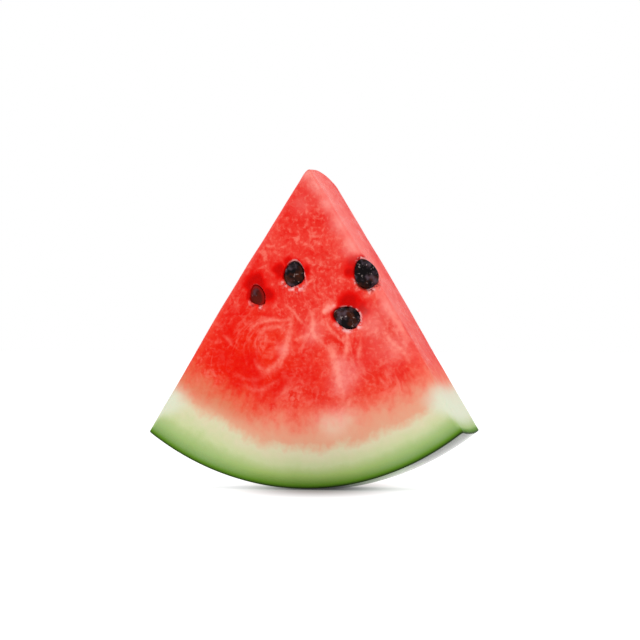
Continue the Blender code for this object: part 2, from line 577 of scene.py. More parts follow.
BEDS = {
    "seed_front_1": Bed((Spot((-0.2, 4.8), 5.0, 1.3), Spot((4.6, 0.8), 3.4, 1.2)), 0.9, 0.85),
    "seed_front_2": Bed(
        (Spot((-6.0, 1.6), 3.6, 1.1), Spot((-2.0, 5.6), 3.0, 0.8), Spot((4.8, 1.5), 2.4, 0.9)), 1.2
    ),
    "seed_front_3": Bed((Spot((-5.8, 0.8), 2.8, 1.1), Spot((-5.0, 5.0), 3.8, 0.8)), 3.2),
    "seed_front_4": Bed((Spot((1.2, 5.8), 4.6, 1.3), Spot((6.5, 3.0), 3.6, 1.1)), 1.0),
}


@dataclass
class SeedPose:
    """Where a packed seed lies: its middle, its axes across, along and out, and its half sizes."""

    node: str
    middle: np.ndarray
    axes: np.ndarray
    half: np.ndarray

    @classmethod
    def of_node(cls, node: str) -> "SeedPose":
        """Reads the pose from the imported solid.

        The axes are the principal axes of its vertices: the longest runs along the seed, towards the
        end where it narrows, and the shortest points out of the slice, away from its middle plane.

        Args:
            node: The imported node's name.

        Returns:
            The pose.
        """
        mesh = bpy.data.objects[node].data
        points = np.empty(len(mesh.vertices) * 3)
        mesh.vertices.foreach_get("co", points)
        points = np.unique(points.reshape(-1, 3).round(7), axis=0)
        middle = (points.min(axis=0) + points.max(axis=0)) / 2
        _, axes = np.linalg.eigh(np.cov((points - middle).T))
        out, across, along = axes.T
        local = (points - middle) @ np.array((across, along)).T
        if np.mean(local[:, 0] ** 2 * local[:, 1]) > 0:
            along = -along
        if out @ cls.away(middle) < 0:
            out = -out
        across = np.cross(along, out)
        frame = np.array((across, along, out))
        return cls(node, middle, frame, np.abs((points - middle) @ frame.T).max(axis=0))

    @property
    def bed(self) -> Bed:
        """How the flesh lies about this seed."""
        return BEDS.get(self.node, Bed())

    @property
    def in_broad_face(self) -> bool:
        """Whether the seed looks out of a broad cut face, not out of a narrow one."""
        return abs(self.axes[2][1]) > 0.5

    @staticmethod
    def away(middle: np.ndarray) -> np.ndarray:
        """The way out of the slice from a point just under its surface."""
        if abs(middle[1]) < MELON.thickness / 4:
            return np.array((math.copysign(1.0, middle[0]), 0.0, 0.0))
        return np.array((0.0, math.copysign(1.0, middle[1]), 0.0))

    def local(self, points: np.ndarray) -> np.ndarray:
        """Points in the seed's own axes, from its middle."""
        return (points - self.middle) @ self.axes.T

    def world(self, points: np.ndarray) -> np.ndarray:
        """The seed's own points in the slice's frame."""
        return points @ self.axes + self.middle


def make_piece(
    name: str, points: np.ndarray, faces: np.ndarray, values: dict[str, np.ndarray]
) -> bpy.types.Object:
    """Makes a closed smooth object from a grid.

    Args:
        name: The object's name.
        points: The vertices, n by 3.
        faces: Rows of four indices.
        values: Named values for each vertex.

    Returns:
        The object, with double vertices merged and its faces turned outwards.
    """
    mesh = bpy.data.meshes.new(name)
    mesh.from_pydata(points.tolist(), [], faces.tolist())
    for key, array in values.items():
        mesh.attributes.new(key, "FLOAT", "POINT").data.foreach_set("value", array.astype(np.float32))
    shape = bmesh.new()
    shape.from_mesh(mesh)
    bmesh.ops.remove_doubles(shape, verts=shape.verts, dist=MERGE_DISTANCE)
    bmesh.ops.dissolve_degenerate(shape, edges=shape.edges, dist=SLIVER_LENGTH)
    bmesh.ops.recalc_face_normals(shape, faces=shape.faces)
    shape.to_mesh(mesh)
    shape.free()
    mesh.shade_smooth()
    piece = bpy.data.objects.new(name, mesh)
    bpy.context.scene.collection.objects.link(piece)
    return piece


def ring_faces(rows: int, columns: int) -> np.ndarray:
    """The quads of a grid whose columns close on themselves.

    Args:
        rows: The number of rings.
        columns: The vertices of a ring.

    Returns:
        Rows of four indices.
    """
    row, column = np.meshgrid(np.arange(rows - 1), np.arange(columns), indexing="ij")
    after = (column + 1) % columns
    corners = (
        row * columns + column,
        row * columns + after,
        (row + 1) * columns + after,
        (row + 1) * columns + column,
    )
    return np.stack(corners, axis=-1).reshape(-1, 4)


@dataclass
class SliceBody:
    """Skin, rind and flesh, which grew as one piece, as one closed surface.

    A ridge end is how far the tip is worn there and how far down the wear goes. bend_end and
    rind_edge_start are shares of the half height, and verge_start is one of the half width.
    """

    columns: int = 156
    side_columns: int = 28
    corner_columns: int = 6
    rows: int = 208
    tip_rows: int = 8
    rim_rows: int = 3
    cap_rows: int = 14
    edge_radius: float = 0.0036
    rind_edge_share: float = 0.35
    tip_radius: float = 0.0011
    ridge_power: float = 1.6
    front_ridge_end: tuple[float, float] = (0.0030, 0.0025)
    back_ridge_end: tuple[float, float] = (0.0200, 0.0070)
    rim_radius: float = 0.0004
    left_bow: float = 0.0014
    right_bow: float = 0.0009
    seed_band: Range = (0.034, 0.074)
    seed_band_fade: tuple[float, float] = (0.006, 0.002)
    seed_band_density: float = 2.0
    band_samples: int = 2000
    bend_end: float = 0.2
    rind_edge_start: float = 0.78
    verge_start: float = 0.80
    round_power: int = 4

    def outline(self) -> tuple[np.ndarray, np.ndarray, np.ndarray, np.ndarray]:
        """The unit rounded rectangle that every ring of the slice follows.

        A point lies at a times (half width less radius) plus b times radius across, and at c times
        (half thickness less radius) plus d times radius through. Front, right, back and left sides
        have b or d fixed, and the corners between them turn b and d through a quarter circle.

        Returns:
            a, b, c and d, one value for each column.
        """
        side = np.linspace(-1.0, 1.0, self.columns, endpoint=False)
        short = np.linspace(-1.0, 1.0, self.side_columns, endpoint=False)
        quarter = np.linspace(0.0, math.pi / 2, self.corner_columns, endpoint=False)
        runs = []
        for turn in range(4):
            along = side if turn % 2 == 0 else short
            across_way = (along, np.ones_like(along), -along, -np.ones_like(along))[turn]
            through_way = (-np.ones_like(along), along, np.ones_like(along), -along)[turn]
            bent = (np.zeros_like(along), across_way)[turn % 2]
            sunk = (through_way, np.zeros_like(along))[turn % 2]
            runs.append(np.array((across_way, bent, through_way, sunk)))
            angle = quarter + math.pi / 2 * (turn - 1)
            sign_a = np.full_like(angle, 1.0 if turn < 2 else -1.0)
            sign_c = np.full_like(angle, -1.0 if turn in (0, 3) else 1.0)
            runs.append(np.array((sign_a, np.cos(angle), sign_c, np.sin(angle))))
        a, b, c, d = np.concatenate(runs, axis=1)
        return a, b, c, d

    def crowded(self, start: float, end: float) -> np.ndarray:
        """Distances from start to end whose steps are finer in the band where the seeds lie.

        A density of 1 plus a smooth hump over that band is summed along the way, and even shares of
        the sum are turned back into distances.

        Args:
            start, end: The first and last distance from the tip.

        Returns:
            One distance for each body row.
        """
        way = np.linspace(start, end, self.band_samples)
        low, high = self.seed_band
        outside, inside = self.seed_band_fade
        hump = ease(way, low - outside, low + inside) * ease(way, high + outside, high - inside)
        total = np.cumsum(1.0 + (self.seed_band_density - 1.0) * hump)
        total = (total - total[0]) / (total[-1] - total[0])
        return np.interp(np.linspace(0.0, 1.0, self.rows), total, way)

    def stations(self) -> dict[str, np.ndarray]:
        """The rings from tip to skin, one value for each.

        down is the distance from the tip along the middle, tip is the half width while the ring is
        on the tip's round, bend is how far the ring follows the skin's curve, inset rounds the rim,
        and squash closes the skin over its middle line.

        Returns:
            Those arrays by name.
        """
        half_angle = (MELON.left_angle + MELON.right_angle) / 2
        centre = self.tip_radius / math.sin(half_angle)
        turn = np.linspace(0.0, math.pi / 2 - half_angle, self.tip_rows, endpoint=False)
        tip_end = self.tip_radius * math.cos(half_angle) ** 2 / math.sin(half_angle)
        body = self.crowded(tip_end, MELON.half_height - self.rim_radius)
        rim = np.linspace(0.0, math.pi / 2, self.rim_rows + 1)[1:]
        cap = np.linspace(1.0, 0.0, self.cap_rows + 1)[1:]
        rim_down = MELON.half_height - self.rim_radius * (1.0 - np.sin(rim))
        down = np.concatenate(
            (centre - self.tip_radius * np.cos(turn), body, rim_down, np.full(len(cap), MELON.half_height))
        )
        inset = np.zeros(len(down))
        first_rim = self.tip_rows + self.rows
        inset[first_rim : first_rim + self.rim_rows] = self.rim_radius * (1.0 - np.cos(rim))
        inset[first_rim + self.rim_rows :] = self.rim_radius
        squash = np.ones(len(down))
        squash[first_rim + self.rim_rows :] = cap
        tip = np.zeros(len(down))
        tip[: self.tip_rows] = self.tip_radius * np.sin(turn)
        bend = ease(down, tip_end, self.bend_end * MELON.half_height)
        on_tip = np.arange(len(down)) < self.tip_rows
        return {"down": down, "inset": inset, "squash": squash, "tip": tip, "bend": bend, "on_tip": on_tip}

    def ridge(self, below: np.ndarray, reach: float, drop: float) -> np.ndarray:
        """How far an end of the ridge at the tip is worn away.

        The end is a quarter of an oval: at a share s of the drop still to go, the wear is the reach
        times 1 less (1 - s to the power p) to the power 1 / p.

        Args:
            below: How far each ring lies below the tip.
            reach: The wear at the tip.
            drop: How far below the tip the wear ends.

        Returns:
            The wear of each ring.
        """
        share = np.clip(1.0 - below / drop, 0.0, 1.0)
        return reach * (1.0 - (1.0 - share**self.ridge_power) ** (1.0 / self.ridge_power))

    def surface(self) -> tuple[np.ndarray, dict[str, np.ndarray]]:
        """The undisturbed surface.

        A ring lies at a distance down from the tip. On it the melon's own angle phi runs between the
        two knife cuts. A point lies at down times (1 - bend (1 - cos phi)) under the tip, and across
        in the proportion (shift + radius sin phi) to the same at the cut. Both shrink towards the
        cut faces as the ellipsoid does, by the root of 1 less (y over radius) squared at the skin.

        Returns:
            The points, rings after one another, and the side, verge and wax values of each: side is 1
            on the narrow cuts, verge rises to 1 towards them and over them, and wax is 1 on the skin
            inside its rim.
        """
        a, b, c, d = self.outline()
        rings = {key: value[:, None] for key, value in self.stations().items()}
        down, bend, inset = rings["down"], rings["bend"], rings["inset"]
        left = a < 0
        hand = np.where(left, -1.0, 1.0)
        slope = np.tan(np.where(left, MELON.left_angle, MELON.right_angle))[None, :]
        last = np.where(left, MELON.cut_end(-1), MELON.cut_end(1))[None, :]
        end_down = down * (1.0 - bend * (1.0 - np.cos(last)))
        bulge = np.sin(np.pi * np.clip(down / MELON.half_height, 0.0, 1.0))
        bow = np.where(left, self.left_bow, self.right_bow) * bulge
        end_across = np.where(rings["on_tip"], rings["tip"], end_down * slope + bow)
        turn = np.abs(last - MELON.below_tip)
        half_width = end_across * turn / np.sin(turn)
        in_rind = ease(down / MELON.half_height, self.rind_edge_start, 1.0)
        soft = 1.0 - (1.0 - self.rind_edge_share) * in_rind
        radius = self.edge_radius * soft * half_width / (half_width + self.edge_radius)
        width = np.abs(a) * (half_width - radius) + np.abs(b) * radius
        width = np.maximum(width - inset * np.abs(a), 0.0)
        share = width / np.maximum(half_width, 1e-9)
        phi = MELON.below_tip + hand * turn * share
        reach = np.abs(MELON.shift + MELON.radius * np.sin(phi))
        last_reach = np.abs(MELON.shift + MELON.radius * np.sin(last))
        across = hand * end_across * reach / last_reach
        under = down * (1.0 - bend * (1.0 - np.cos(phi)))
        below = down - down.min()
        front, back = (self.ridge(below, *end) for end in (self.front_ridge_end, self.back_ridge_end))
        half = (MELON.thickness - front - back) / 2 - inset
        through = ((front - back) / 2 + c * (half - radius) + d * radius) * rings["squash"]
        outer = (down / MELON.half_height) ** self.round_power
        shrink = 1.0 - outer * (1.0 - np.sqrt(1.0 - (through / MELON.radius) ** 2))
        height = np.maximum(MELON.heart - under * shrink, 0.0)
        points = np.stack(np.broadcast_arrays(across * shrink, through, height), axis=-1)
        side = np.broadcast_to(np.abs(b)[None, :] * (inset == 0.0), points.shape[:2])
        verge = ease(share, self.verge_start, 1.0)
        wax = np.broadcast_to((rings["squash"] < 1.0).astype(float), points.shape[:2])
        values = {"side": side, "verge": verge, "wax": wax}
        return points.reshape(-1, 3), {key: value.reshape(-1) for key, value in values.items()}

    def build(self, seeds: list[SeedPose]) -> bpy.types.Object:
        """Makes the finished surface.

        Args:
            seeds: The seeds that lie in it.

        Returns:
            The object, with the values that its finish reads.
        """
        points, values = self.surface()
        columns = 2 * (self.columns + self.side_columns) + 4 * self.corner_columns
        faces = ring_faces(len(points) // columns, columns)
        piece = make_piece("melon_slice_body", points, faces, values)
        relief = Relief(piece.data, seeds)
        relief.shape()
        relief.write()
        log.info("%s: %d vertices", piece.name, len(piece.data.vertices))
        return piece


@dataclass
class Relief:
    """What the knife and the seeds left: moves of the vertices, and values for the finish, among them painted
    shade and highlights.

    Depths are counted under the skin, and the heights of a mark from the middle of its seed.
    A Range is where a smooth step starts and ends, and a falling step starts at its larger number.
    Rings, the socket's wall and its reach are in half sizes of the seed.
    """

    mesh: bpy.types.Mesh
    seeds: list[SeedPose]
    front_facing: Range = (0.2, 0.8)
    broad_facing: Range = (0.5, 0.9)
    cut_depth: Range = (0.0003, 0.003)
    flesh_depth: Range = (0.018, 0.034)
    clear_of_tip: Range = (0.001, 0.012)
    strand_steps: int = 6
    strand_width: float = 1.35
    strand_least: float = 0.25
    halo_width: float = 2.6
    halo_share: float = 0.35
    strand_height: float = 0.00014
    soaked_depth: float = 0.00012
    spill: float = 0.55
    spill_depth: Range = (0.002, 0.013)
    back_part: Range = (-0.003, 0.008)
    ragged_marks: tuple[Ripple, ...] = (Ripple(0.0035, 0.0006, 31), Ripple(0.011, 0.0008, 41))
    fibre_drift: Ripple = Ripple(0.013, 0.0016, 51)
    fibre_arm: float = 0.085
    least_arm: float = 0.002
    knife_waves: tuple[Ripple, ...] = (Ripple(0.021, 0.00020, 1), Ripple(0.009, 0.00010, 2))
    flesh_grains: tuple[Ripple, ...] = (Ripple(0.0023, 0.00010, 3), Ripple(0.0013, 0.00007, 4))
    socket_gap: float = 0.0004
    socket_wall: Range = (1.02, 1.16)
    socket_reach: Range = (1.5, 4.0)
    opening: Range = (-0.00015, 0.00015)
    ragged_opening: Ripple = Ripple(0.0014, 0.00035, 61)
    cover_lift: float = 0.0003
    lip: Ring = Ring(1.24, 0.12, 0.00018)
    # Painted shade about each seed: a deep red halo above it, with ragged edges
    shade_halo: Ring = Ring(1.0, 0.34, 0.9)
    shade_above: Range = (-0.0045, 0.0)
    ragged_shade: Ripple = Ripple(0.0022, 0.0007, 67)
    # Pale rim about each seed: membrane with a painted highlight at its upper right, and torn below
    membrane_highlight_rim: Ring = Ring(1.07, 0.07, 0.8)
    highlight_part: Range = (0.0, 0.004)
    torn_rim: Ring = Ring(1.04, 0.22, 0.9)
    torn_below: Range = (-0.0010, -0.0040)
    torn_scraps: Ripple = Ripple(0.0015, 1.0, 71)
    scrap_fade: Range = (-0.2, 0.6)

    def __post_init__(self) -> None:
        """Reads the mesh's places and normals."""
        self.points = self.read(self.mesh.vertices, "co")
        self.normals = self.read(self.mesh.vertex_normals, "vector")
        self.start = self.points.copy()
        self.depth = MELON.depth(self.points)
        self.front = ease(-self.normals[:, 1], *self.front_facing)
        # deep holds the painted shade about the seeds and one red patch on the right cut, pale holds pale
        # patches and painted highlights, and rim holds pale membrane with a painted highlight and torn scraps
        names = ("vein", "pale", "vivid", "deep", "rim")
        self.values = {name: np.zeros(len(self.points)) for name in names}
        self.flow = np.zeros_like(self.points)

    @staticmethod
    def read(items: Any, key: str) -> np.ndarray:
        """A collection's vectors as an n by 3 array."""
        flat = np.empty(len(items) * 3)
        items.foreach_get(key, flat)
        return flat.reshape(-1, 3)

    def strand(self, vein: Vein, flat: np.ndarray) -> np.ndarray:
        """How strongly a strand shows at each point.

        The strand runs through its points on a Catmull-Rom curve. Its strength falls as a bell over
        a fainter and wider one, its halo, and both fade towards its two ends.

        Args:
            vein: The strand.
            flat: The points, across and up, n by 2.

        Returns:
            One value for each point.
        """
        knots = np.array(vein.points) * MM
        padded = np.vstack((2 * knots[0] - knots[1], knots, 2 * knots[-1] - knots[-2]))
        t = np.linspace(0.0, 1.0, self.strand_steps, endpoint=False)[:, None]
        curve = []
        for p0, p1, p2, p3 in zip(padded, padded[1:], padded[2:], padded[3:]):
            bends = (2 * p0 - 5 * p1 + 4 * p2 - p3) * t**2 + (3 * p1 - p0 - 3 * p2 + p3) * t**3
            curve.append(0.5 * (2 * p1 + (p2 - p0) * t + bends))
        path = np.vstack((*curve, knots[-1:]))
        best = np.full(len(flat), np.inf)
        along = np.zeros(len(flat))
        for index, (start, end) in enumerate(zip(path, path[1:])):
            run = end - start
            share = np.clip((flat - start) @ run / (run @ run), 0.0, 1.0)
            distance = np.linalg.norm(flat - start - share[:, None] * run, axis=1)
            nearer = distance < best
            best = np.where(nearer, distance, best)
            along = np.where(nearer, (index + share) / (len(path) - 1), along)
        fade = self.strand_least + (1.0 - self.strand_least) * np.sqrt(np.sin(np.pi * along))
        width = self.strand_width * vein.width * MM * fade
        core = (1.0 - self.halo_share) * bell(best, 0.0, width)
        return vein.strength * fade * (core + self.halo_share * bell(best, 0.0, self.halo_width * width))

    def mark(self) -> None:
        """Fills the values from the strands and patches.

        A patch falls as a bell about its middle, and runs a little way over the edge onto the narrow
        cuts. Some pale patches are painted highlights along the crease and at the tip. One deep red
        patch lies on the right cut. All are looked up at places that wander by a small noise, so that
        their edges are ragged.
        """
        wander, drift = (ripple.vectors(self.start) for ripple in self.ragged_marks)
        flat = (self.start + wander + drift)[:, (0, 2)]
        shown = self.front > 0.0
        for vein in FRONT_VEINS:
            strength = self.strand(vein, flat[shown]) * self.front[shown]
            self.values["vein"][shown] = np.maximum(self.values["vein"][shown], strength)
        carried = np.maximum(self.front, self.spill * ease(-self.start[:, 1], *self.spill_depth))
        behind = ease(self.start[:, 1], *self.back_part)
        kinds = (("pale", FRONT_PALE_AND_HIGHLIGHTS, carried), ("vivid", FRONT_VIVID, carried), ("deep", SIDE_DEEP, behind))
        for name, spots, mask in kinds:
            for spot in spots:
                away = np.linalg.norm(flat - np.array(spot.middle) * MM, axis=1)
                self.values[name] += spot.strength * bell(away, 0.0, spot.radius * MM) * mask

    def comb(self) -> None:
        """Works out which way the fibres run.

        Fibres run out from the tip, so one coordinate is the turn about the tip, as a length at the
        fibre arm, and the other the distance from it. Each whorl first turns the places near it
        about its middle, by its turn times a bell.
        """
        places = self.start + self.fibre_drift.vectors(self.start)
        flat = places[:, (0, 2)]
        for whorl in FRONT_WHORLS:
            away = flat - np.array(whorl.middle) * MM
            distance = np.linalg.norm(away, axis=1)
            turn = whorl.turn * bell(distance, 0.0, whorl.radius * MM) * self.front
            turned = (
                away[:, 0] * np.cos(turn) - away[:, 1] * np.sin(turn),
                away[:, 0] * np.sin(turn) + away[:, 1] * np.cos(turn),
            )
            flat = flat + np.stack(turned, axis=1) - away
        down = MELON.heart - flat[:, 1]
        turn = np.arctan2(flat[:, 0], np.maximum(down, self.least_arm))
        self.flow = np.stack((turn * self.fibre_arm, places[:, 1], np.hypot(flat[:, 0], down)), axis=1)

    def roughen(self) -> None:
        """Moves the vertices along their normals.

        The knife leaves slow waves over a cut face. The flesh breaks in grains, more so the deeper it
        lies, but not on the narrow cuts. Strands stand a little proud and soaked patches sink.
        """
        from_tip = MELON.half_height - self.depth
        flesh = ease(self.depth, *self.flesh_depth) * ease(from_tip, *self.clear_of_tip)
        waves = sum(ripple.at(self.points) for ripple in self.knife_waves)
        grains = sum(ripple.at(self.points) for ripple in self.flesh_grains)
        soaked = np.clip(self.values["vivid"], 0.0, 1.0)
        strands = self.strand_height * self.values["vein"] - self.soaked_depth * soaked
        broad = ease(np.abs(self.normals[:, 1]), *self.broad_facing)
        move = waves * ease(self.depth, *self.cut_depth) + (grains * broad + strands) * flesh
        self.points += self.normals * move[:, None]

    def seat(self, seed: SeedPose) -> None:
        """Sinks a socket under a seed, and paints shade and a rim on the flesh about it.

        In the seed's own axes, rho is the distance from its middle in half sizes, allowing for its
        taper. Where the seed stands near the surface, the flesh is pushed down to its underside,
        half depth times the root of 1 less rho squared, and a gap below it, and a wall climbs back
        just outside. Where the seed dips further under the surface than its cover, flesh stays over it.

        Args:
            seed: The seed's pose.
        """
        here = seed.local(self.points)
        sunk = np.abs(here[:, 2]) / seed.half[2]
        near = sunk < self.socket_reach[1]
        along = here[:, 1] / seed.half[1]
        rho = np.hypot(here[:, 0] / (seed.half[0] * SeedForm.taper(along)), along)
        dome = seed.half[2] * np.sqrt(np.clip(1.0 - rho**2, 0.0, 1.0))
        ragged = self.ragged_opening.at(self.start)
        over = here[:, 2] - dome - seed.bed.cover * MM - ragged
        inside = (1.0 - ease(rho, *self.socket_wall)) * near
        open_share = 1.0 - ease(over, *self.opening)
        floor = np.minimum(here[:, 2], -dome - self.socket_gap)
        lifted = np.maximum(dome + self.cover_lift - here[:, 2], 0.0) * (1.0 - open_share)
        change = (floor - here[:, 2]) * inside * open_share + lifted * near * (rho < 1.0)
        self.points += (change + self.lip.at(rho) * near)[:, None] * seed.axes[2]
        self.seed_shade(seed, rho, 1.0 - ease(sunk, *self.socket_reach))

    def seed_shade(self, seed: SeedPose, rho: np.ndarray, near: np.ndarray) -> None:
        """Paints deep red shade and a pale rim on the flesh about a seed.

        A halo of painted shade lies all round but for below, and each shade spot of the bed falls as a
        bell. The rim is pale membrane with a painted highlight, bright at the upper right, less where a
        film veils the seed, and torn below it.

        Args:
            seed: The seed's pose.
            rho: The distance from the seed in half sizes.
            near: How near each vertex lies to the seed's level, from 1 there to 0 far below it.
        """
        away = self.start - seed.middle
        up = away[:, 2]
        ragged = self.ragged_shade.at(self.start)
        level = away[:, 0 if seed.in_broad_face else 1] + ragged
        # Painted shade: a deep red halo and spots in the flesh about the seed
        shaded = self.shade_halo.at(np.maximum(rho, self.shade_halo.place)) * ease(up, *self.shade_above)
        for seed_shade in seed.bed.shade_spots:
            place = np.array(seed_shade.middle) * MM
            distance = np.hypot(level - place[0], up + ragged - place[1])
            shaded = np.maximum(shaded, seed_shade.strength * bell(distance, 0.0, seed_shade.radius * MM))
        self.values["deep"] = np.maximum(self.values["deep"], shaded * near)
        torn = ease(self.torn_scraps.at(self.start), *self.scrap_fade)
        # Painted highlight: the rim is brighter towards the upper right
        facing = ease(away[:, 0] + up, *self.highlight_part) * (1.0 - seed.bed.film)
        rim = self.membrane_highlight_rim.at(rho) * facing + self.torn_rim.at(rho) * ease(up, *self.torn_below) * torn
        self.values["rim"] = np.maximum(self.values["rim"], rim * near)

    def shape(self) -> None:
        """Marks, combs, roughens and seats, and keeps the foot flat on the floor."""
        self.mark()
        self.comb()
        self.roughen()
        for seed in self.seeds:
            self.seat(seed)
        self.points[:, 2] = np.maximum(self.points[:, 2], 0.0)

    def write(self) -> None:
        """Writes the places and the values into the mesh."""
        self.mesh.vertices.foreach_set("co", self.points.reshape(-1))
        for name, array in self.values.items():
            layer = self.mesh.attributes.new(name, "FLOAT", "POINT")
            layer.data.foreach_set("value", np.clip(array, 0.0, 1.0).astype(np.float32))
        layer = self.mesh.attributes.new("flow", "FLOAT_VECTOR", "POINT")
        layer.data.foreach_set("vector", self.flow.reshape(-1).astype(np.float32))
        self.mesh.update()


@dataclass
class SeedForm:
    """One seed: a flat drop with a rounded edge, a faint margin and two dents beside its point."""

    around: int = 64
    along: int = 44
    flatness: float = 0.8
    widest: float = 1.02
    margin: Ring = Ring(0.78, 0.07, 0.00010)
    dent_depth: float = 0.00024
    dent_along: tuple[float, float] = (0.60, 0.15)
    dent_across: tuple[float, float] = (0.27, 0.10)
    uneven: Ripple = Ripple(0.0020, 0.012, 9)

    TAPER = 0.20

    @classmethod
    def taper(cls, along: np.ndarray) -> np.ndarray:
        """The share of the full width at a place along the seed, narrower towards its point at +1."""
        return 1.0 - cls.TAPER * along

    def build(self, pose: SeedPose, name: str) -> bpy.types.Object:
        """Makes the seed where its solid lies.

        With v from the blunt end to the point and u around, the seed is an ellipsoid with its width
        times the taper, over the widest that this makes it. Its broad sides are flattened by taking
        the depth to a power, a margin runs around them as a shallow groove, and two dents lie beside
        the point. A dent's two numbers are its place and its width, in half sizes.

        Args:
            pose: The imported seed's pose.
            name: The new object's name.

        Returns:
            The object.
        """
        v = np.linspace(-math.pi / 2, math.pi / 2, self.along + 1)[:, None]
        u = np.linspace(0.0, 2 * math.pi, self.around, endpoint=False)[None, :]
        along = np.sin(v) + 0.0 * u
        across = np.cos(v) * np.cos(u)
        out = np.cos(v) * np.sin(u)
        out = np.sign(out) * np.abs(out) ** self.flatness
        rho = np.hypot(along, across)
        place, width = self.dent_across
        both = bell(across, place, width) + bell(across, -place, width)
        dents = self.dent_depth * bell(along, *self.dent_along) * both
        x = across * pose.half[0] / self.widest * self.taper(along)
        y = along * pose.half[1]
        z = out * pose.half[2] - np.sign(out) * (self.margin.at(rho) + dents)
        points = np.stack((x, y, z), axis=-1).reshape(-1, 3)
        points = points * (1.0 + self.uneven.at(points + pose.middle)[:, None])
        faces = ring_faces(self.along + 1, self.around)
        return make_piece(name, pose.world(points), faces, {"edge": rho.reshape(-1)})


class Hue(Enum):
    """The colours of the melon in even white light, and the painted highlights, sheen, rim light and shade
    that stand in for light on it.
    """

    SKIN_DARK = srgb(26, 46, 20)
    SKIN_LIGHT = srgb(98, 130, 66)
    RIND_EDGE = srgb(24, 40, 12)
    RIND_GREEN = srgb(88, 130, 32)
    RIND_LIME = srgb(160, 185, 105)
    RIND_PALE = srgb(198, 206, 155)
    RIND_CREAM = srgb(215, 208, 172)
    RIND_BLUSH = srgb(224, 162, 132)
    RIND_PINK = srgb(245, 98, 76)
    PITH = srgb(217, 222, 200)
    FLESH = srgb(222, 42, 31)
    FLESH_LIGHT = srgb(236, 82, 68)
    VIVID = srgb(224, 9, 3)
    WARM = srgb(236, 50, 16)
    VEIN = srgb(248, 138, 120)
    # Pale patches, and the painted highlights along the crease and at the tip
    PALE_AND_HIGHLIGHT = srgb(247, 154, 144)
    # Painted shade in the sockets about the seeds
    PIT_SHADE = srgb(188, 4, 2)
    # Painted rim light of the left edge
    RIM_LIGHT_ORANGE = srgb(238, 74, 38)
    TAN = srgb(204, 92, 42)
    CREAM = srgb(230, 196, 170)
    # Painted sheen of the right cut
    SIDE_SHEEN = srgb(253, 100, 94)
    BLOOM = srgb(142, 172, 134)
    # Pale membrane about the seeds, with its painted highlight
    RIM_AND_HIGHLIGHT = srgb(246, 186, 184)
    SCRAP = srgb(128, 36, 44)
    SEED = srgb(13, 8, 10)
    SEED_BROWN = srgb(76, 30, 10)
    # Painted sheen and glints of the wet seed coat
    SEED_SHEEN = srgb(92, 76, 86)
    SEED_GLINT = srgb(206, 186, 182)
    SEED_VEILED = srgb(92, 16, 8)
    SEED_STAINED = srgb(150, 12, 6)


